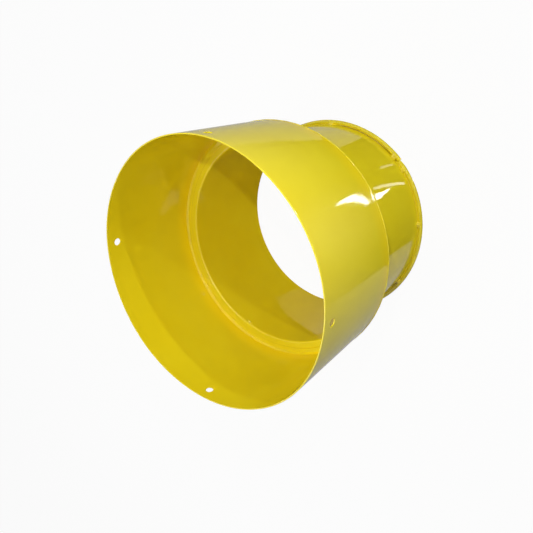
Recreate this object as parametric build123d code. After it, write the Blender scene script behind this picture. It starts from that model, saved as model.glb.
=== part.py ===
from build123d import *
import os

# Duct inlet adapter: a wide sheet-metal shell steps down through a flat ring to a narrow collar.
# Millimetres, +Z along the axis towards the wide mouth, origin at the centre of the narrow end.

# Wide shell, a rolled cylinder that takes the fan or hood outlet
shell_outer_diameter = 330.0
shell_length = 149.5
shell_sheet = 1.5

# Screw holes through the wide shell, one on each row axis
screw_hole_diameter = 9.5
screw_hole_count = 4
screw_hole_setback = 16.0

# Flat step ring between shell and collar; the step runs from one outside to the other
step_width = 19.5
ring_thickness = 2.0
ring_proud = 0.6

# Narrow collar, a rolled tube whose inner end is turned out into a flange
collar_reach = 151.0
collar_sheet = 1.5
flange_width = 7.0
bend_radius = 1.0

# Round rod bent into a bead ring at the collar's free end
rod_diameter = 6.35
rod_setback = 0.5
rod_gap = 0.1
rod_end_angle = -133.0
rod_end_split = 0.8
rod_spring_sweep = 46.5
rod_spring_lift = 1.0

# Welds
corner_weld_leg = 2.5
flange_weld_leg = 1.5
tack_angles = (-86.2, -138.0, -169.9, -208.1, -246.0, -283.5, -322.0, -359.0, -399.5)
spring_tack_angle = -128.6
tack_half_length = 4.6
tack_wrap_angle = 70.0
tack_rise = 2.4
tack_crown = 0.5
tack_reach = 3.0

# Places that follow from the sizes above
shell_outer_radius = shell_outer_diameter / 2
shell_inner_radius = shell_outer_radius - shell_sheet
ring_front = collar_reach + ring_thickness
mouth = ring_front + shell_length
collar_outer_diameter = shell_outer_diameter - 2 * step_width
collar_outer_radius = collar_outer_diameter / 2
collar_inner_radius = collar_outer_radius - collar_sheet
ring_hole_radius = collar_outer_radius + bend_radius
flange_radius = ring_hole_radius + flange_width
rod_radius = rod_diameter / 2
rod_height = rod_setback + rod_radius
rod_ring_radius = collar_outer_radius + rod_gap + rod_radius
rod_spring_start = rod_end_angle - (360 - rod_end_split - rod_spring_sweep)


def wide_shell():
    """Rolled cylinder with the fillet weld at its foot, and its screw holes drilled from outside."""
    with BuildSketch(Plane.XZ) as section:
        with BuildLine():
            Polyline((shell_outer_radius, mouth), (shell_outer_radius, ring_front),
                     (shell_inner_radius - corner_weld_leg, ring_front),
                     (shell_inner_radius, ring_front + corner_weld_leg), (shell_inner_radius, mouth), close=True)
        make_face()
    shell = revolve(section.sketch, Axis.Z)
    drill = Cylinder(screw_hole_diameter / 2, 4 * shell_sheet, rotation=(0, 90, 0))
    drill = Pos(shell_outer_radius, 0, mouth - screw_hole_setback) * drill
    for turn in range(screw_hole_count):
        shell -= Rot(0, 0, turn * 360 / screw_hole_count) * drill
    return shell


def step_ring():
    """Flat annular plate, a little proud of the shell that stands on it."""
    ring = Cylinder(shell_outer_radius + ring_proud, ring_thickness) - Cylinder(ring_hole_radius, ring_thickness)
    return Pos(0, 0, collar_reach + ring_thickness / 2) * ring


def narrow_collar():
    """Rolled tube that comes up through the ring, turns out over its front face and is welded round there."""
    flange_top = ring_front + collar_sheet
    bend = (ring_hole_radius, ring_front - bend_radius)
    with BuildSketch(Plane.XZ) as section:
        with BuildLine():
            Line((collar_inner_radius, 0), (collar_inner_radius, bend[1]))
            CenterArc(bend, bend_radius + collar_sheet, 90, 90)
            Polyline((bend[0], flange_top), (flange_radius, flange_top),
                     (flange_radius + flange_weld_leg, ring_front), (bend[0], ring_front))
            CenterArc(bend, bend_radius, 90, 90)
            Polyline((collar_outer_radius, bend[1]), (collar_outer_radius, 0), (collar_inner_radius, 0))
        make_face()
    return revolve(section.sketch, Axis.Z)


def spring_radius():
    """Ring radius of the rod's last stretch, wide enough to lift its end clear by the wanted amount."""
    return rod_ring_radius + rod_spring_lift / (1 - Vector(1, 0).rotate(Axis.Z, rod_spring_sweep).X)


def spring_centre():
    """Centre of that stretch, set back so that it leaves the tight stretch without a kink."""
    return Vector(rod_ring_radius - spring_radius(), 0, 0).rotate(Axis.Z, rod_spring_start)


def wire_ring():
    """Rod bent once round the collar; its last stretch springs clear before it meets its own start."""
    tight = CenterArc((0, 0, rod_height), rod_ring_radius, rod_end_angle, rod_spring_start - rod_end_angle)
    hub = spring_centre() + Vector(0, 0, rod_height)
    spring = CenterArc(hub, spring_radius(), rod_spring_start, -rod_spring_sweep)
    path = Wire([tight.edge(), spring.edge()])
    return sweep(Plane(path @ 0, z_dir=path % 0) * Circle(rod_radius), path)


def tack_weld(angle, hub, ring_radius):
    """Short bead that fills the crevice above the rod, its ends rounded off."""
    inside = collar_outer_radius - collar_sheet / 2
    rod_centre = (ring_radius, rod_height)
    rod_side = PolarLine(rod_centre, rod_radius, tack_wrap_angle) @ 1
    head = Vector(inside, rod_height + rod_radius + tack_rise)
    crown = (rod_side + head) / 2 + Vector(tack_crown, tack_crown)
    with BuildSketch(Plane.XZ) as section:
        with BuildLine():
            CenterArc(rod_centre, rod_radius, tack_wrap_angle, 180 - tack_wrap_angle)
            Polyline((ring_radius - rod_radius, rod_height), (inside, rod_height), head)
            ThreePointArc(head, crown, rod_side)
        make_face()
    bead = Rot(0, 0, -tack_reach) * revolve(section.sketch, Axis.Z, revolution_arc=2 * tack_reach)
    bead &= Pos(ring_radius - rod_radius / 2, 0, rod_height + rod_radius / 2) * Sphere(tack_half_length)
    return Pos(hub) * Rot(0, 0, angle) * bead - Cylinder(collar_outer_radius, 4 * rod_diameter)


def wire_tacks():
    """Tack welds along the tight stretch, and one that bridges to the sprung end."""
    tacks = [tack_weld(angle, Vector(0, 0, 0), rod_ring_radius) for angle in tack_angles]
    tacks.append(tack_weld(spring_tack_angle, spring_centre(), spring_radius()))
    return Compound([tack.solid() for tack in tacks])


os.makedirs("parts", exist_ok=True)
nodes = {
    "wide_shell": wide_shell(),
    "step_ring": step_ring(),
    "narrow_collar": narrow_collar(),
    "wire_ring": wire_ring(),
    "wire_tacks": wire_tacks(),
}
for name, shape in nodes.items():
    export_step(shape, f"parts/{name}.step")
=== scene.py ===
import math

import bpy
import numpy as np
from mathutils import Matrix, Vector


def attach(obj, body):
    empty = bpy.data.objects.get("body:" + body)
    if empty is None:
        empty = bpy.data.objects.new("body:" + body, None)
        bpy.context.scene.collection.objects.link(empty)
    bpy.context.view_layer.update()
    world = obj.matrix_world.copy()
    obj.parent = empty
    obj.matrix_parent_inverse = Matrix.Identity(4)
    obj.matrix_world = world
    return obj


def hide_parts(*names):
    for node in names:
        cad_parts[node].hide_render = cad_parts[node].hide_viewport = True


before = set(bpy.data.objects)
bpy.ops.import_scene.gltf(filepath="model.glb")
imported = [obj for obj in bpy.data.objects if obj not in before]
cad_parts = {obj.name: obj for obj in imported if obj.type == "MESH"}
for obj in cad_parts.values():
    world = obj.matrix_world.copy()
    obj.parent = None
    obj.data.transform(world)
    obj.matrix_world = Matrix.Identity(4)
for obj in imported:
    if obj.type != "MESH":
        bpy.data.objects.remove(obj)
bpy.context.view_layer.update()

# Looks of a duct inlet adapter: rolled and welded sheet steel under one glossy yellow powder coat.
# Metres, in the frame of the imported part: +Z along the axis towards the wide mouth, narrow end at Z 0.

MM = 0.001

# Wide shell and its four screw holes, as the solids have them
SHELL_RADIUS = 165.0 * MM
SHELL_SHEET = 1.5 * MM
SHELL_INNER = SHELL_RADIUS - SHELL_SHEET
SHELL_LENGTH = 149.5 * MM
HOLE_COUNT = 4
HOLE_RADIUS = 4.75 * MM
HOLE_SETBACK = 16.0 * MM

# Step ring
STEP_WIDTH = 19.5 * MM
RING_BACK = 151.0 * MM
RING_FRONT = RING_BACK + 2.0 * MM
RING_RADIUS = SHELL_RADIUS + 0.6 * MM
MOUTH = RING_FRONT + SHELL_LENGTH
HOLE_HEIGHT = MOUTH - HOLE_SETBACK

# Narrow collar with its turned flange
COLLAR_RADIUS = SHELL_RADIUS - STEP_WIDTH
COLLAR_SHEET = 1.5 * MM
COLLAR_INNER = COLLAR_RADIUS - COLLAR_SHEET
BEND_INSIDE = 1.0 * MM
BEND_OUTSIDE = BEND_INSIDE + COLLAR_SHEET
RING_HOLE = COLLAR_RADIUS + BEND_INSIDE
FLANGE_RADIUS = RING_HOLE + 7.0 * MM
FLANGE_TOP = RING_FRONT + COLLAR_SHEET

# Welds, and the places of the tacks in degrees
CORNER_LEG = 2.5 * MM
FLANGE_LEG = 1.5 * MM
TACKS = (-86.2, -138.0, -169.9, -208.1, -246.0, -283.5, -322.0, -359.0, -399.5)
SPRING_TACK = -128.6

# Bead rod: a tight stretch, and a last one on a wider radius that springs clear of the collar
ROD_RADIUS = 3.175 * MM
ROD_HEIGHT = ROD_RADIUS + 0.5 * MM
ROD_RING = COLLAR_RADIUS + 0.1 * MM + ROD_RADIUS
ROD_END = -133.0
ROD_SPLIT = 0.8
SPRING_SWEEP = 46.5
SPRING_LIFT = 1.0 * MM
SPRING_RADIUS = ROD_RING + SPRING_LIFT / (1 - math.cos(math.radians(SPRING_SWEEP)))
SPRING_START = ROD_END - (360 - ROD_SPLIT - SPRING_SWEEP)


def spoke(degrees):
    """Unit vector across the axis at an angle."""
    return np.array([math.cos(math.radians(degrees)), math.sin(math.radians(degrees))])


SPRING_HUB = (ROD_RING - SPRING_RADIUS) * spoke(SPRING_START)

# Camera and flash, fitted to the photo; the flash is over the lens, a little left of it and ahead of it
FLASH_OVER = 98 * MM
FLASH_LEFT = 14 * MM
FLASH_AHEAD = 90 * MM
CAMERA_PLACE = Vector((-0.3585, -0.2541, 0.6836))
CAMERA_RIGHT = Vector((-0.8085, -0.0419, -0.5870))
CAMERA_UP = Vector((0.2717, -0.9114, -0.3091))
CAMERA_BACK = CAMERA_RIGHT.cross(CAMERA_UP)
FLASH_PLACE = CAMERA_PLACE + CAMERA_UP * FLASH_OVER - CAMERA_RIGHT * FLASH_LEFT - CAMERA_BACK * FLASH_AHEAD

# How finely the turned meshes are cut
SEGMENTS = 720
EDGE_STEPS = 5


def placed(radius, angle, height):
    """Points at the given radius, angle and height, one row each."""
    return np.stack([radius * np.cos(angle), radius * np.sin(angle), height], -1).reshape(-1, 3)


def closed_quads(around_count, along_count):
    """Quads of a grid of points that closes on itself both ways."""
    around, along = np.meshgrid(np.arange(around_count), np.arange(along_count), indexing="ij")
    next_around = (around + 1) % around_count
    next_along = (along + 1) % along_count
    corners = [(around, along), (next_around, along), (next_around, next_along), (around, next_along)]
    return np.stack([a * along_count + b for a, b in corners], -1).reshape(-1, 4)


def tube_faces(stations, sides):
    """Quads of an open run of equal closed sections, and the two faces that shut its ends."""
    faces = []
    for a in range(stations - 1):
        for b in range(sides):
            c = (b + 1) % sides
            faces.append([a * sides + b, a * sides + c, (a + 1) * sides + c, (a + 1) * sides + b])
    faces.append(list(range(sides))[::-1])
    faces.append([(stations - 1) * sides + b for b in range(sides)])
    return faces


def rounded(corners, step, arc_steps=EDGE_STEPS):
    """Closed section through (radius, height, rounding) corners, its straight runs cut to short steps."""
    corners = [np.array(corner, float) for corner in corners]
    points = []
    for before, here, after in zip([corners[-1]] + corners[:-1], corners, corners[1:] + corners[:1]):
        corner, radius = here[:2], here[2]
        if radius == 0:
            points.append(corner)
            continue
        back = (before[:2] - corner) / np.linalg.norm(before[:2] - corner)
        ahead = (after[:2] - corner) / np.linalg.norm(after[:2] - corner)
        half = math.acos(np.clip(back @ ahead, -1, 1)) / 2
        centre = corner + (back + ahead) / np.linalg.norm(back + ahead) * radius / math.sin(half)
        first = corner + back * radius / math.tan(half) - centre
        last = corner + ahead * radius / math.tan(half) - centre
        for share in np.linspace(0, 1, arc_steps + 1):
            arm = first * (1 - share) + last * share
            points.append(centre + arm / np.linalg.norm(arm) * radius)
    section = []
    for start, end in zip(points, points[1:] + points[:1]):
        runs = max(1, math.ceil(np.linalg.norm(end - start) / step))
        section += [start + (end - start) * k / runs for k in range(runs)]
    return np.array(section)


def lathe(section, bend):
    """Vertices and quads of a closed section turned once round the axis and pushed about by bend."""
    angles = np.linspace(0, 2 * math.pi, SEGMENTS, endpoint=False)
    radius, angle = np.meshgrid(section[:, 0], angles)
    height = np.broadcast_to(section[:, 1], radius.shape)
    radius, height = bend(radius, angle, height)
    return placed(radius, angle, height), closed_quads(SEGMENTS, len(section))


def piece(name, points, faces, material, slot, *nodes):
    """A smooth-shaded mesh that rides with the part and stands for the named CAD nodes."""
    mesh = bpy.data.meshes.new(name)
    faces = [[int(corner) for corner in face] for face in faces]
    mesh.from_pydata(np.asarray(points).tolist(), [], faces)
    mesh.validate()
    mesh.shade_smooth()
    mesh.materials.append(material)
    thing = bpy.data.objects.new(name, mesh)
    bpy.context.scene.collection.objects.link(thing)
    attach(thing, "root")
    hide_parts(*nodes)


def waves(counts, size, seed):
    """A smooth random wobble round the axis, as (count, amplitude, phase) terms of about the wanted size."""
    rolls = np.random.default_rng(seed)
    root = math.sqrt(len(counts))
    return [(count, size * rolls.uniform(0.5, 1.0) / root, rolls.uniform(0, math.tau)) for count in counts]


def wobble(terms, angle):
    """The sum of a wobble's terms at an angle."""
    return sum(size * np.cos(count * angle + phase) for count, size, phase in terms)


# Film of the coat: it rounds every edge of the steel
COAT_ROUND = 0.45 * MM

# What rolling, cutting and welding leave in the sheets: out of round, and drawn in along the welds
SHELL_OVAL = waves((2, 3, 4, 5, 7), 0.35 * MM, 3)
SHELL_HEAT = waves((11, 17, 23, 31, 43), 0.06 * MM, 5)
SHELL_DRAW_IN = 0.3 * MM
SHELL_HEAT_REACH = 14 * MM
SHELL_HEAT_HELD = 6 * MM
COLLAR_OVAL = waves((2, 3, 5, 6), 0.12 * MM, 7)
COLLAR_HEAT = waves((13, 19, 29, 37), 0.12 * MM, 9)
COLLAR_HEAT_REACH = 12 * MM
COLLAR_HEAT_HELD = 4 * MM
COLLAR_ROD_HELD = 12 * MM
RING_CUT = waves((3, 8, 19, 41, 67), 0.11 * MM, 11)
RING_CUT_BACK = 0.12 * MM
RING_RIM = 1.6 * MM


def shell_bend(radius, angle, height):
    """Rolled sheet: a little out of round towards the mouth, drawn in and puckered along the weld."""
    above = np.maximum(height - RING_FRONT, 0)
    up = np.clip((height - RING_FRONT) / SHELL_LENGTH, 0, 1)
    heat = np.exp(-above / SHELL_HEAT_REACH) * (1 - np.exp(-above / SHELL_HEAT_HELD))
    pull = wobble(SHELL_HEAT, angle) - SHELL_DRAW_IN
    return radius + wobble(SHELL_OVAL, angle) * up + pull * heat, height


def collar_bend(radius, angle, height):
    """Rolled tube: nearly round, with the weld's pull under the ring, and held true by the rod."""
    below = RING_BACK - height
    down = np.clip(below / RING_BACK, 0, 1)
    heat = np.exp(-np.maximum(below, 0) / COLLAR_HEAT_REACH) * np.clip(below / COLLAR_HEAT_HELD, 0, 1)
    free = np.clip(height / COLLAR_ROD_HELD, 0, 1)
    return radius + (wobble(COLLAR_OVAL, angle) * down + wobble(COLLAR_HEAT, angle) * heat) * free, height


def ring_bend(radius, angle, height):
    """Cut plate: its outer edge is never proud of the cut size."""
    rim = np.clip((radius - (RING_RADIUS - RING_RIM)) / RING_RIM, 0, 1)
    return radius - rim * (RING_CUT_BACK + wobble(RING_CUT, angle)), height


class Nodes:
    """The node tree of a material or world, emptied first and then built up node by node."""

    def __init__(self, owner):
        owner.use_nodes = True
        self.tree = owner.node_tree
        self.tree.nodes.clear()

    def add(self, kind, sockets=None, **settings):
        """A new node, given back as its outputs; a socket takes a plain value or another node's output."""
        node = self.tree.nodes.new(kind)
        for name, value in settings.items():
            setattr(node, name, value)
        for socket, value in (sockets or {}).items():
            if isinstance(value, bpy.types.NodeSocket):
                self.tree.links.new(value, node.inputs[socket])
            else:
                node.inputs[socket].default_value = value
        return node.outputs

    def noise(self, place, scale, detail, roughness):
        """Fractal noise at a place."""
        sockets = {"Vector": place, "Scale": scale, "Detail": detail, "Roughness": roughness}
        return self.add("ShaderNodeTexNoise", sockets)["Fac"]

    def ramp(self, value, start, end, low=0.0, high=1.0, shape="LINEAR"):
        """The value's way from start to end, as a way from low to high."""
        sockets = {"Value": value, "From Min": start, "From Max": end, "To Min": low, "To Max": high}
        return self.add("ShaderNodeMapRange", sockets, interpolation_type=shape)["Result"]

    def mix(self, share, first, second):
        """One colour going over into another."""
        return self.add("ShaderNodeMix", {0: share, 6: first, 7: second}, data_type="RGBA")[2]

    def bump(self, height, strength, distance, under=None):
        """Relief of the given depth, over another relief if there is one."""
        sockets = {"Height": height, "Strength": strength, "Distance": distance}
        if under:
            sockets["Normal"] = under
        return self.add("ShaderNodeBump", sockets)["Normal"]

    def seen_rays(self):
        """1 for the rays that show the background: to the camera, in gloss and through glass."""
        path = self.add("ShaderNodeLightPath")
        seen = path["Is Camera Ray"]
        for kind in ("Is Glossy Ray", "Is Transmission Ray"):
            seen = self.add("ShaderNodeMath", {0: seen, 1: path[kind]}, operation="MAXIMUM")["Value"]
        return seen


# Colours of the coat: thin, deeper in tone, and a richer orange that is thicker coat on the welds and also
# painted bounce light along the inside corner
COAT = (0.91, 0.76, 0.016, 1)
COAT_DEEP = (0.885, 0.72, 0.012, 1)
COAT_THICK_AND_BOUNCE = (0.98, 0.76, 0.008, 1)
COAT_IOR = 1.45

# Band of painted bounce light, a warmer orange round the shell: strongest at the ring, fading out up the
# wall
BOUNCE_BAND_LOW = 154 * MM
BOUNCE_BAND_HIGH = 182 * MM

# Grain of the coat, from its broad clouds to its orange peel: noise scales, and depths of the relief
CLOUD_SCALE = 9
CLOUD_EDGES = (0.35, 0.65)
SWELL_SCALE = 38
SWELL_DEPTH = 0.3 * MM
SWELL_STRENGTH = 0.5
ROLL_SCALE = 75
ROLL_DEPTH = 0.25 * MM
ROLL_DIRECTION = (1, 1, 0.05)
GRIT_SCALE = 160
GRIT_EDGES = (0.3, 0.7)
PEEL_SCALE = 420
PEEL_DEPTH = 0.06 * MM
PEEL_STRENGTH = 0.35
PATTERN_STEP = Vector((1.7, 0.9, 0.4))


def coat_material(name, seed, bump=1.0, haze=(0.05, 0.09), painted_bounce=False, rolled=0.0,
                  colours=(COAT, COAT_DEEP)):
    """Glossy powder coat: two close yellows in soft clouds, orange peel, and a little haze in the gloss.

    With painted_bounce the colour turns a richer orange just above the ring, as painted bounce light from
    the ring onto the wall. Rolled sheet has faint lines along Z.
    """
    material = bpy.data.materials.new(name)
    nodes = Nodes(material)
    place = nodes.add("ShaderNodeTexCoord")["Object"]
    shift = PATTERN_STEP * seed
    shifted = nodes.add("ShaderNodeVectorMath", {0: place, 1: shift}, operation="ADD")["Vector"]
    clouds = nodes.ramp(nodes.noise(shifted, CLOUD_SCALE, 3, 0.55), *CLOUD_EDGES)
    colour = nodes.mix(clouds, *colours)
    if painted_bounce:
        # Painted bounce light: a richer orange in a band round the shell just above the ring
        height = nodes.add("ShaderNodeSeparateXYZ", {0: place})["Z"]
        bounce_share = nodes.ramp(height, BOUNCE_BAND_HIGH, BOUNCE_BAND_LOW, shape="SMOOTHSTEP")
        colour = nodes.mix(bounce_share, colour, COAT_THICK_AND_BOUNCE)
    dull = nodes.ramp(nodes.noise(shifted, GRIT_SCALE, 4, 0.6), *GRIT_EDGES, *haze)
    peel = nodes.noise(shifted, PEEL_SCALE, 2, 0.5)
    swell = nodes.noise(shifted, SWELL_SCALE, 1, 0.4)
    relief = nodes.bump(peel, PEEL_STRENGTH * bump, PEEL_DEPTH)
    relief = nodes.bump(swell, SWELL_STRENGTH * bump, SWELL_DEPTH, relief)
    if rolled:
        sockets = {0: shifted, 1: ROLL_DIRECTION}
        drawn = nodes.add("ShaderNodeVectorMath", sockets, operation="MULTIPLY")["Vector"]
        relief = nodes.bump(nodes.noise(drawn, ROLL_SCALE, 2, 0.6), rolled, ROLL_DEPTH, relief)
    sockets = {"Base Color": colour, "Roughness": dull, "Normal": relief, "IOR": COAT_IOR}
    skin = nodes.add("ShaderNodeBsdfPrincipled", sockets)["BSDF"]
    nodes.add("ShaderNodeOutputMaterial", {"Surface": skin})
    return material


# The welds mix in the richer orange as thick coat; on the corner weld it also stands in for painted bounce
# light from the ring
WELD_COLOURS = (COAT_THICK_AND_BOUNCE, COAT_DEEP)
sheet_coat = coat_material("coat_on_sheet", 1, rolled=0.8)
shell_coat = coat_material("coat_on_shell", 4, painted_bounce=True, rolled=0.4)
rod_coat = coat_material("coat_on_rod", 2)
weld_coat = coat_material("coat_on_weld", 3, bump=1.4, haze=(0.07, 0.14), colours=WELD_COLOURS)
spatter_coat = coat_material("coat_on_spatter", 3, bump=0.0, haze=(0.07, 0.10), colours=WELD_COLOURS)


# Wide shell. Round each hole a square patch of the drum's grid makes way for a disc of rings.
PATCH_CELLS = 8
PATCH_HALF = math.radians(PATCH_CELLS * 360 / SEGMENTS)
PATCH_RISE = SHELL_RADIUS * PATCH_HALF
PATCH_LOW = HOLE_HEIGHT - PATCH_RISE
PATCH_HIGH = HOLE_HEIGHT + PATCH_RISE
PATCH_RINGS = 7
PATCH_CROWDING = 0.8
HOLE_EVERY = SEGMENTS // HOLE_COUNT
FOOT_RISE = 3 * MM
FOOT_CELLS = 4
WALL_CELLS = 33
LIP_CELLS = 3
SHELL_ROWS = np.concatenate([
    np.linspace(RING_FRONT, RING_FRONT + FOOT_RISE, FOOT_CELLS + 1)[:-1],
    np.linspace(RING_FRONT + FOOT_RISE, PATCH_LOW, WALL_CELLS + 1),
    np.linspace(PATCH_LOW, PATCH_HIGH, 2 * PATCH_CELLS + 1)[1:],
    np.linspace(PATCH_HIGH, MOUTH - COAT_ROUND, LIP_CELLS + 1)[1:],
])
SHELL_COLUMNS = np.linspace(0, 2 * math.pi, SEGMENTS, endpoint=False)
PATCH_ROW = int(np.argmin(abs(SHELL_ROWS - PATCH_LOW)))


class Skin:
    """A mesh under way: points as (radius, angle, height), and faces between them."""

    def __init__(self):
        self.points = []
        self.faces = []

    def add(self, radius, angle, height):
        """A new point, given back as its number."""
        self.points.append((radius, angle, height))
        return len(self.points) - 1

    def face(self, corners, inside=False):
        """A new face, turned about when it is on the inside of the sheet."""
        self.faces.append(corners[::-1] if inside else corners)

    def bridge(self, loops, inside=False):
        """Quads from each closed loop of points to the next one."""
        for low, high in zip(loops, loops[1:]):
            for k in range(len(low)):
                m = (k + 1) % len(low)
                self.face([low[k], low[m], high[m], high[k]], inside)


def eased_edge():
    """(back, deep) steps across a cut edge of the shell: short of the cut, and below its outside."""
    turn = np.linspace(0, math.pi / 2, EDGE_STEPS)
    near = [(COAT_ROUND * (1 - math.sin(t)), COAT_ROUND * (1 - math.cos(t))) for t in turn]
    return near + [(back, SHELL_SHEET - deep) for back, deep in reversed(near)]


def patch_border():
    """Grid steps from a hole's axis to each point on the border of its patch, once round."""
    n = PATCH_CELLS
    border = [(k, -n) for k in range(-n, n)] + [(n, k) for k in range(-n, n)]
    return border + [(-i, -j) for i, j in border]


def drum(skin):
    """Both walls of the shell, open at the patches; gives the number of each (side, column, row) point."""
    grid = {}
    for side, radius in enumerate((SHELL_RADIUS, SHELL_INNER)):
        for row, height in enumerate(SHELL_ROWS):
            for column, angle in enumerate(SHELL_COLUMNS):
                across = (column + PATCH_CELLS) % HOLE_EVERY
                if not (0 < across < 2 * PATCH_CELLS and 0 < row - PATCH_ROW < 2 * PATCH_CELLS):
                    grid[side, column, row] = skin.add(radius, angle, height)
    for side in (0, 1):
        for row in range(len(SHELL_ROWS) - 1):
            for column in range(SEGMENTS):
                across = (column + PATCH_CELLS) % HOLE_EVERY
                if across < 2 * PATCH_CELLS and 0 <= row - PATCH_ROW < 2 * PATCH_CELLS:
                    continue
                right = (column + 1) % SEGMENTS
                low = [grid[side, column, row], grid[side, right, row]]
                high = [grid[side, right, row + 1], grid[side, column, row + 1]]
                skin.face(low + high, inside=side == 1)
    return grid


def lip_and_foot(skin, grid):
    """The rolled-over edge at the mouth, and the plain one that stands on the ring."""
    top = len(SHELL_ROWS) - 1
    loops = [[grid[0, column, top] for column in range(SEGMENTS)]]
    for back, deep in eased_edge()[1:-1]:
        loops.append([skin.add(SHELL_RADIUS - deep, angle, MOUTH - back) for angle in SHELL_COLUMNS])
    loops.append([grid[1, column, top] for column in range(SEGMENTS)])
    skin.bridge(loops)
    skin.bridge([[grid[side, column, 0] for column in range(SEGMENTS)] for side in (1, 0)])


def loop_round_hole(skin, turn, radius, measured, reach):
    """A loop of points round a hole, each as far from its axis as reach says for its border point.

    The way across is turned into an angle on the measured radius.
    """
    loop = []
    for i, j in patch_border():
        across = measured * math.sin(i / PATCH_CELLS * PATCH_HALF)
        up = j / PATCH_CELLS * PATCH_RISE
        far = math.hypot(across, up)
        share = reach(far) / far
        loop.append(skin.add(radius, turn + math.asin(across * share / measured), HOLE_HEIGHT + up * share))
    return loop


def screw_hole(skin, grid, hole):
    """Two discs of rings that close in from the patch's border, and the eased wall between them."""
    turn = hole * 2 * math.pi / HOLE_COUNT
    edge = eased_edge()
    rim = HOLE_RADIUS + edge[0][0]
    rims = []
    for side, radius in enumerate((SHELL_RADIUS, SHELL_INNER)):
        loops = [[grid[side, (hole * HOLE_EVERY + i) % SEGMENTS, PATCH_ROW + PATCH_CELLS + j]
                  for i, j in patch_border()]]
        for ring in range(1, PATCH_RINGS + 1):
            way = (ring / PATCH_RINGS) ** PATCH_CROWDING
            loops.append(loop_round_hole(skin, turn, radius, radius, lambda far: far + (rim - far) * way))
        skin.bridge(loops, inside=side == 1)
        rims.append(loops[-1])
    wall = [loop_round_hole(skin, turn, SHELL_RADIUS - deep, SHELL_RADIUS, lambda far: HOLE_RADIUS + back)
            for back, deep in edge[1:-1]]
    skin.bridge([rims[0]] + wall + [rims[1]])


def wide_shell():
    """Points and faces of the shell."""
    skin = Skin()
    grid = drum(skin)
    lip_and_foot(skin, grid)
    for hole in range(HOLE_COUNT):
        screw_hole(skin, grid, hole)
    radius, angle, height = np.array(skin.points).T
    radius, height = shell_bend(radius, angle, height)
    return placed(radius, angle, height), skin.faces


piece("shell", *wide_shell(), shell_coat, "coated_sheet", "wide_shell")


# Laid beads, a ripple for each dip of the torch. Each drift is (size, times round, start).
BEAD_STATIONS = 2160
BEAD_STEPS = 9
BEAD_BURIED = 0.4 * MM
BEAD_DRIFTS = ((0.8, 7, 0), (0.5, 19, 1))


def fillet_bead(wall, floor, leg, inward, crown, ripple, count, terms):
    """Points and faces of a bead in the corner between a wall and a face: it ripples, and its legs wander.

    With inward 1 the bead goes from the wall towards the axis, with -1 away from it.
    """
    angles = np.linspace(0, 2 * math.pi, BEAD_STATIONS, endpoint=False)
    wander = 1 + wobble(terms, angles) / leg
    drift = sum(size * np.sin(angles * times + start) for size, times, start in BEAD_DRIFTS)
    phase = angles * count + drift
    ripples = ripple * (np.abs(np.sin(phase / 2)) - 0.5)
    section = []
    for share in np.linspace(0, 1, BEAD_STEPS):
        bulge = crown * math.sin(math.pi * share)
        across = share + bulge
        up = 1 - share + bulge
        size = leg * wander * (1 + ripples * math.sin(math.pi * across))
        section.append(np.stack([wall - inward * across * size, floor + up * size], -1))
    below = floor - BEAD_BURIED
    behind = wall + inward * BEAD_BURIED
    for corner in ((wall - inward * leg, below), (behind, below), (behind, floor + leg)):
        section.append(np.broadcast_to(corner, (BEAD_STATIONS, 2)))
    section = np.stack(section, 1)
    points = placed(section[..., 0], angles[:, None], section[..., 1])
    quads = closed_quads(BEAD_STATIONS, section.shape[1])
    return points, quads if inward == 1 else quads[:, ::-1]


corner_wander = waves((2, 5, 9, 16, 27), 0.35 * MM, 21)
corner_bead = fillet_bead(SHELL_INNER, RING_FRONT, CORNER_LEG, inward=1, crown=0.0, ripple=0.10,
                          count=420, terms=corner_wander)
piece("corner_weld", *corner_bead, weld_coat, "coated_weld", "wide_shell")

# Step ring
RING_BURR = 0.3 * MM
RING_ROUND = 0.7 * MM
RING_STEP = 2.5 * MM
ring_section = rounded([(RING_HOLE, RING_BACK, RING_BURR), (RING_RADIUS, RING_BACK, RING_ROUND),
                        (RING_RADIUS, RING_FRONT, RING_ROUND), (RING_HOLE, RING_FRONT, RING_BURR)],
                       RING_STEP)
piece("ring", *lathe(ring_section, ring_bend), sheet_coat, "coated_sheet", "step_ring")

# Narrow collar, its tube and flange one bent sheet
COLLAR_STEP = 3.5 * MM
COLLAR_ARC_STEPS = 8
collar_section = rounded([(COLLAR_INNER, 0, COAT_ROUND), (COLLAR_RADIUS, 0, COAT_ROUND),
                          (COLLAR_RADIUS, RING_FRONT, BEND_INSIDE), (FLANGE_RADIUS, RING_FRONT, 0),
                          (FLANGE_RADIUS, FLANGE_TOP, COAT_ROUND), (COLLAR_INNER, FLANGE_TOP, BEND_OUTSIDE)],
                         COLLAR_STEP, COLLAR_ARC_STEPS)
piece("collar", *lathe(collar_section, collar_bend), sheet_coat, "coated_sheet", "narrow_collar")
flange_wander = waves((3, 7, 13, 22, 35), 0.22 * MM, 23)
flange_bead = fillet_bead(FLANGE_RADIUS, RING_FRONT, FLANGE_LEG, inward=-1, crown=0.04, ripple=0.12,
                          count=520, terms=flange_wander)
piece("flange_weld", *flange_bead, weld_coat, "coated_weld", "narrow_collar")


# Bead rod: its ends are sawn square and eased, and the tight one is ground back on the outside
ROD_EASE = 0.4 * MM
ROD_EASE_STEPS = 6
ROD_GROUND = 1.3 * MM
ROD_GROUND_LENGTH = 11 * MM
ROD_GROUND_CURVE = 1.5
ROD_STATIONS = 1500
ROD_SIDES = 32
TIGHT_STEPS = 640
SPRUNG_STEPS = 100


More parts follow.
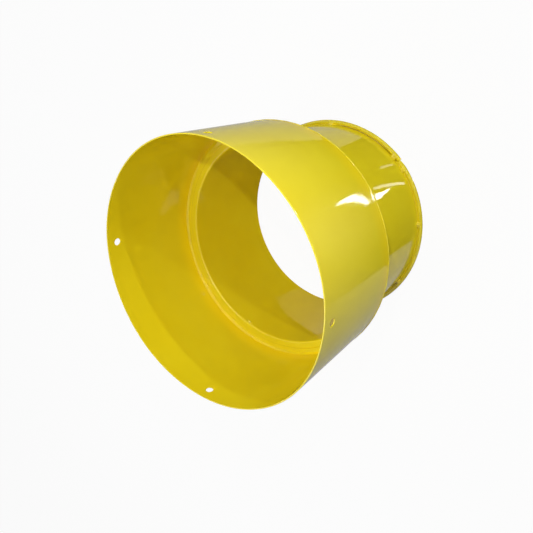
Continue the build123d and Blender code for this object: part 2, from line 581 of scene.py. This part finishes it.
def rod_path():
    """Centre line of the rod and its sideways direction, from the tight end to the sprung end."""
    tight = np.radians(np.linspace(ROD_END, SPRING_START, TIGHT_STEPS))
    sprung = np.radians(np.linspace(SPRING_START, SPRING_START - SPRING_SWEEP, SPRUNG_STEPS))[1:]
    turn = np.concatenate([tight, sprung])
    side = np.stack([np.cos(turn), np.sin(turn)], -1)
    line = np.concatenate([ROD_RING * side[:TIGHT_STEPS], SPRING_HUB + SPRING_RADIUS * side[TIGHT_STEPS:]])
    return line, side


def rod():
    """Points and faces of the rod."""
    line, side = rod_path()
    along = np.concatenate([[0], np.cumsum(np.linalg.norm(np.diff(line, axis=0), axis=1))])
    length = along[-1]
    ease = np.linspace(0, math.pi / 2, ROD_EASE_STEPS)
    first = ROD_EASE * (1 - np.cos(ease))
    middle = np.linspace(ROD_EASE, length - ROD_EASE, ROD_STATIONS)[1:-1]
    stations = np.concatenate([first, middle, length - first[::-1]])
    eased = ROD_RADIUS - ROD_EASE + ROD_EASE * np.sin(ease)
    ground = ROD_GROUND / 2 * np.clip(1 - stations / ROD_GROUND_LENGTH, 0, 1) ** ROD_GROUND_CURVE
    sizes = np.concatenate([eased, np.full(len(middle), ROD_RADIUS), eased[::-1]]) - ground
    centre = np.stack([np.interp(stations, along, line[:, k]) for k in (0, 1)], -1)
    out = np.stack([np.interp(stations, along, side[:, k]) for k in (0, 1)], -1)
    out /= np.linalg.norm(out, axis=1)[:, None]
    turn = np.linspace(0, 2 * math.pi, ROD_SIDES, endpoint=False)
    across = sizes[:, None] * np.cos(turn) - ground[:, None]
    up = sizes[:, None] * np.sin(turn)
    points = [centre[:, :1] + out[:, :1] * across, centre[:, 1:] + out[:, 1:] * across, ROD_HEIGHT + up]
    return np.stack(points, -1).reshape(-1, 3), tube_faces(len(stations), ROD_SIDES)


piece("rod", *rod(), rod_coat, "coated_rod", "wire_ring")

# Coat that has run into the crevice between rod and collar, its corners in millimetres out from the
# collar's outside and up from the rod's middle
CREVICE_CORNERS = ((-0.3, 0.9), (0.9, 0.9), (1.1, 2.2), (-0.2, 2.8))
CREVICE_STEP = 2 * MM
CREVICE_SINK = 1.6 * MM
CREVICE_FADE = math.radians(12)


def crevice_bend(radius, angle, height):
    """The coat fills the crevice only where the rod lies tight; beside the sprung stretch it sinks away."""
    past = (math.radians(SPRING_START) - angle) % (2 * math.pi)
    sprung = np.clip(past / CREVICE_FADE, 0, 1) * (past < math.radians(SPRING_SWEEP))
    return radius - sprung * CREVICE_SINK, height


crevice_corners = [(COLLAR_RADIUS + out * MM, ROD_HEIGHT + up * MM, 0) for out, up in CREVICE_CORNERS]
crevice_section = rounded(crevice_corners, CREVICE_STEP)
piece("crevice_coat", *lathe(crevice_section, crevice_bend), rod_coat, "coated_rod", "wire_ring")


# Tack welds that fill the crevice above the rod
TACK_HALF = 4.9 * MM
TACK_WRAP = 66
TACK_RISE = 2.4 * MM
TACK_CROWN = 0.7 * MM
TACK_SUNK = 0.15 * MM
TACK_BURIED = 0.5 * MM
TACK_BLUNT = 0.4
TACK_THINNEST = 0.02
TACK_PUDDLE = 0.10
TACK_LEAN = 0.12
TACK_ROOT_RISE = 0.55
TACK_STATIONS = 41
TACK_STEPS = 11


def tack(angle, rod_ring, seed):
    """Points and faces of one tack: a few puddles in a row, fading into the rod and the collar."""
    rolls = np.random.default_rng(seed)
    puddles = rolls.uniform(1.2, 1.9)
    lean = rolls.uniform(-0.25, 0.25)
    fat = rolls.uniform(0.9, 1.1)
    rod_middle = np.array([rod_ring, ROD_HEIGHT])
    root = np.array([COLLAR_RADIUS, ROD_HEIGHT + TACK_ROOT_RISE * ROD_RADIUS])
    head = np.array([COLLAR_RADIUS - TACK_SUNK, ROD_HEIGHT + ROD_RADIUS + TACK_RISE])
    toe = rod_middle + (ROD_RADIUS - TACK_SUNK) * spoke(TACK_WRAP)
    points = []
    for share in np.linspace(-1, 1, TACK_STATIONS):
        taper = max(TACK_THINNEST, (1 - share ** 2) ** TACK_BLUNT)
        swell = 1 + TACK_PUDDLE * abs(math.cos(math.pi * puddles * share)) + TACK_LEAN * lean * share
        size = fat * taper * swell
        section = []
        for t in np.linspace(0, 1, TACK_STEPS):
            crown = TACK_CROWN * swell * math.sin(math.pi * t)
            skin = head * (1 - t) + toe * t + crown / math.sqrt(2)
            section.append(root + (skin - root) * size)
        section.append((root + rod_middle) / 2)
        section.append(root - TACK_BURIED)
        section.append(root + np.array([-TACK_BURIED, (head[1] - root[1]) * size]))
        turned = angle + share * TACK_HALF / rod_ring
        points += [(r * math.cos(turned), r * math.sin(turned), z) for r, z in section]
    return points, tube_faces(TACK_STATIONS, TACK_STEPS + 3)


def all_tacks():
    """All the tacks as one body of points and faces."""
    places = [(math.radians(angle), ROD_RING) for angle in TACKS]
    spot = SPRING_HUB + SPRING_RADIUS * spoke(SPRING_TACK)
    places.append((math.atan2(spot[1], spot[0]), float(np.linalg.norm(spot))))
    points, faces = [], []
    for seed, (angle, rod_ring) in enumerate(places):
        fresh, quads = tack(angle, rod_ring, seed)
        faces += [[corner + len(points) for corner in face] for face in quads]
        points += fresh
    return points, faces


piece("tacks", *all_tacks(), weld_coat, "coated_weld", "wire_tacks")

# Weld spatter under the coat, as (angle, radius, height, size) in degrees and millimetres
SPATTER = (
    (40.2, 146.4, 154.4, 0.9), (62.4, 144.0, 151.8, 0.8), (73.4, 144.0, 150.6, 1.3),
    (75.2, 144.1, 149.9, 0.9), (40.0, 161.0, 155.0, 0.9), (43.5, 161.8, 155.4, 0.7),
    (36.5, 150.2, 154.4, 0.6), (48.0, 145.2, 154.2, 0.7), (-112.9, 164.6, 301.8, 0.5),
    (12.0, 160.6, 154.6, 0.6), (86.0, 161.4, 155.0, 0.8), (-109.8, 165.1, 152.7, 0.7),
    (-128.9, 165.1, 152.7, 0.7), (-134.4, 165.1, 152.6, 0.6), (-135.6, 165.1, 152.8, 0.7),
)
SPATTER_LONG = 1.6
SPATTER_WIDE = 0.8
SPATTER_RISE = 0.3 * MM
SPATTER_CROWN = 0.15
SPATTER_SIDES = 16
SPATTER_RINGS = 9


def droplet(angle, radius, height, size):
    """Points of one droplet: a low button along the weld, turned to glint in the flash."""
    turned = math.radians(angle)
    middle = Vector((radius * math.cos(turned), radius * math.sin(turned), height)) * MM
    facing = ((CAMERA_PLACE - middle).normalized() + (FLASH_PLACE - middle).normalized()).normalized()
    tangent = Vector((-math.sin(turned), math.cos(turned), 0))
    along = (tangent - facing * tangent.dot(facing)).normalized()
    across = facing.cross(along)
    points = []
    for tilt in np.linspace(0, math.pi, SPATTER_RINGS + 2)[1:-1]:
        reach = math.sin(tilt) * size * MM
        rise = math.copysign(SPATTER_RISE * abs(math.cos(tilt)) ** SPATTER_CROWN, math.cos(tilt))
        for spin in np.linspace(0, 2 * math.pi, SPATTER_SIDES, endpoint=False):
            spread = along * (SPATTER_LONG * math.cos(spin)) + across * (SPATTER_WIDE * math.sin(spin))
            points.append(middle + spread * reach + facing * rise)
    return points


def spatter():
    """All the droplets as one body of points and faces."""
    points, faces = [], []
    for spot in SPATTER:
        faces += [[corner + len(points) for corner in face[::-1]]
                  for face in tube_faces(SPATTER_RINGS, SPATTER_SIDES)]
        points += droplet(*spot)
    return points, faces


piece("spatter", *spatter(), spatter_coat, "coated_weld", "wide_shell", "narrow_collar")


# Studio: what shows behind the part is white, what lights it is dim
FLOOR_HALF = 6.0
FLOOR_DROP = 0.2 * MM
PAPER = (0.82, 0.82, 0.82, 1)
PAPER_WHITE_SHARE = 0.95
WORLD_LIGHT = 0.025
WORLD_SEEN = 1.0
CARD_GAP = 0.7 * MM


def stage_sheet(name, corners, material):
    """One flat face that belongs to the studio."""
    mesh = bpy.data.meshes.new(name)
    mesh.from_pydata(corners, [], [tuple(range(len(corners)))])
    mesh.materials.append(material)
    sheet = bpy.data.objects.new(name, mesh)
    bpy.context.scene.collection.objects.link(sheet)
    return sheet


def floor():
    """Pale paper that takes the part's shadow under a veil of white."""
    material = bpy.data.materials.new("floor_paper")
    nodes = Nodes(material)
    veil = nodes.ramp(nodes.seen_rays(), 0, 1, 0, PAPER_WHITE_SHARE)
    paper = nodes.add("ShaderNodeBsdfDiffuse", {"Color": PAPER})["BSDF"]
    white = nodes.add("ShaderNodeEmission")["Emission"]
    surface = nodes.add("ShaderNodeMixShader", {0: veil, 1: paper, 2: white})["Shader"]
    nodes.add("ShaderNodeOutputMaterial", {"Surface": surface})
    quarters = ((-1, -1), (1, -1), (1, 1), (-1, 1))
    corners = [(x * FLOOR_HALF, y * FLOOR_HALF, -FLOOR_DROP) for x, y in quarters]
    stage_sheet("floor", corners, material)


def studio_world():
    """White to look at, and dim as a light."""
    world = bpy.data.worlds.new("studio")
    nodes = Nodes(world)
    strength = nodes.ramp(nodes.seen_rays(), 0, 1, WORLD_LIGHT, WORLD_SEEN)
    sky = nodes.add("ShaderNodeBackground", {"Color": (1, 1, 1, 1), "Strength": strength})["Background"]
    nodes.add("ShaderNodeOutputWorld", {"Surface": sky})
    bpy.context.scene.world = world


def card(name, layer, outline, strength, fades=()):
    """A flat card just over the floor, in millimetres, that only the gloss of the coat sees.

    Each fade is (centre, from radius, to radius, added strength).
    """
    height = layer * CARD_GAP
    material = bpy.data.materials.new(name)
    nodes = Nodes(material)
    place = nodes.add("ShaderNodeTexCoord")["Object"]
    for (x, y), start, end, added in fades:
        centre = (x * MM, y * MM, height)
        away = nodes.add("ShaderNodeVectorMath", {0: place, 1: centre}, operation="DISTANCE")["Value"]
        gain = nodes.ramp(away, start * MM, end * MM, 0, added, "SMOOTHSTEP")
        strength = nodes.add("ShaderNodeMath", {0: strength, 1: gain}, operation="ADD")["Value"]
    shine = nodes.add("ShaderNodeEmission", {"Strength": strength})["Emission"]
    nodes.add("ShaderNodeOutputMaterial", {"Surface": shine})
    sheet = stage_sheet(name, [(x * MM, y * MM, height) for x, y in outline], material)
    sheet.visible_camera = False
    sheet.visible_diffuse = False
    sheet.visible_shadow = False


def disc(radius, count):
    """Outline of a round card."""
    turns = [math.tau * k / count for k in range(count)]
    return [(radius * math.cos(turn), radius * math.sin(turn)) for turn in turns]


floor()
studio_world()

# Cards for what the coat mirrors in the photo: the room, its dark end, the floor of the bore, the windows
BORE_CARD_RADIUS = 143.9
card("card_room", 1, disc(470, 72), 0.44)
card("card_dark", 2, [(-143, -3), (-154, 1), (-186, 28), (-238, 34), (-313, 88), (-420, 150), (-420, -420),
                      (150, -420), (123, -343), (37, -285), (-3, -259), (-25, -237), (-45, -147),
                      (-80, -122), (-120, -85)],
     0.02, [((0, 0), 215, 390, 0.32), ((-325, -185), 190, 0, 0.36)])
card("card_bore", 2, disc(BORE_CARD_RADIUS, 180), 0.02)
card("card_bore_light", 3, [(56, 74), (50, 118), (44, 136), (10, 143), (-30, 140), (-30, 128), (5, 118),
                            (30, 95)], 0.34)
card("card_window", 3, [(-240, -203), (-227, -194), (-216, -168), (-215, -137), (-211, -138), (-204, -148),
                        (-199, -179), (-207, -190), (-221, -198)], 14)
card("card_window_low", 3, [(-161, -120), (-171, -111), (-166, -106), (-141, -103), (-150, -109)], 14)
card("card_streak", 3, [(-148, -133), (-125, -90), (-124, -84), (-126, -83), (-132, -95), (-140, -105),
                        (-153, -126)], 3)
card("card_streak_faint", 3, [(-111, -132), (-104, -109), (-101, -110), (-106, -132)], 1.3)

AIM = Vector((0, 0, 0.15))
LAMP_AWAY = 2.0
SOFT_AWAY = 1.5
SOFT_SIZE = 0.7


def lamp(name, place, size, watts):
    """A square lamp turned to the part."""
    data = bpy.data.lights.new(name, "AREA")
    data.size = size
    data.energy = watts
    thing = bpy.data.objects.new(name, data)
    thing.location = place
    thing.rotation_euler = (AIM - Vector(place)).to_track_quat("-Z", "Y").to_euler()
    bpy.context.scene.collection.objects.link(thing)


def over_rim(azimuth, elevation):
    """A far place from which a lamp looks over the near side of the mouth's rim at the given slope."""
    x, y = LAMP_AWAY * spoke(azimuth)
    return x, y, MOUTH + (LAMP_AWAY - SHELL_RADIUS) * math.tan(math.radians(elevation))


def on_dome(azimuth, elevation):
    """A place on a dome round the part."""
    x, y = SOFT_AWAY * spoke(azimuth) * math.cos(math.radians(elevation))
    return x, y, AIM.z + SOFT_AWAY * math.sin(math.radians(elevation))


# The flash and three small lamps give the sharp edges of light in the photo, the soft ones fill
lamp("key", FLASH_PLACE, 0.006, 1.0)
lamp("low_lamp", over_rim(-128.5, 7.2), 0.03, 6.1)
lamp("high_lamp", over_rim(-98.5, 32.2), 0.04, 5.6)
lamp("side_lamp", over_rim(-152.0, 24.9), 0.04, 3.4)
lamp("soft_over", on_dome(-110, 79), SOFT_SIZE, 5.2)
lamp("soft_back", on_dome(45, 55), SOFT_SIZE, 7.6)
lamp("soft_right", on_dome(-45, 55), SOFT_SIZE, 0.5)
lamp("soft_left", on_dome(140, 3), SOFT_SIZE, 0.8)

# Camera, its lens fitted to the photo
camera_data = bpy.data.cameras.new("camera")
camera_data.sensor_width = 36
camera_data.lens = 33.94
camera_data.clip_start = 0.01
camera = bpy.data.objects.new("camera", camera_data)
turn = Matrix((CAMERA_RIGHT, CAMERA_UP, CAMERA_BACK)).transposed()
camera.matrix_world = Matrix.Translation(CAMERA_PLACE) @ turn.to_4x4()
bpy.context.scene.collection.objects.link(camera)
bpy.context.scene.camera = camera

bpy.context.scene.view_settings.view_transform = "Standard"
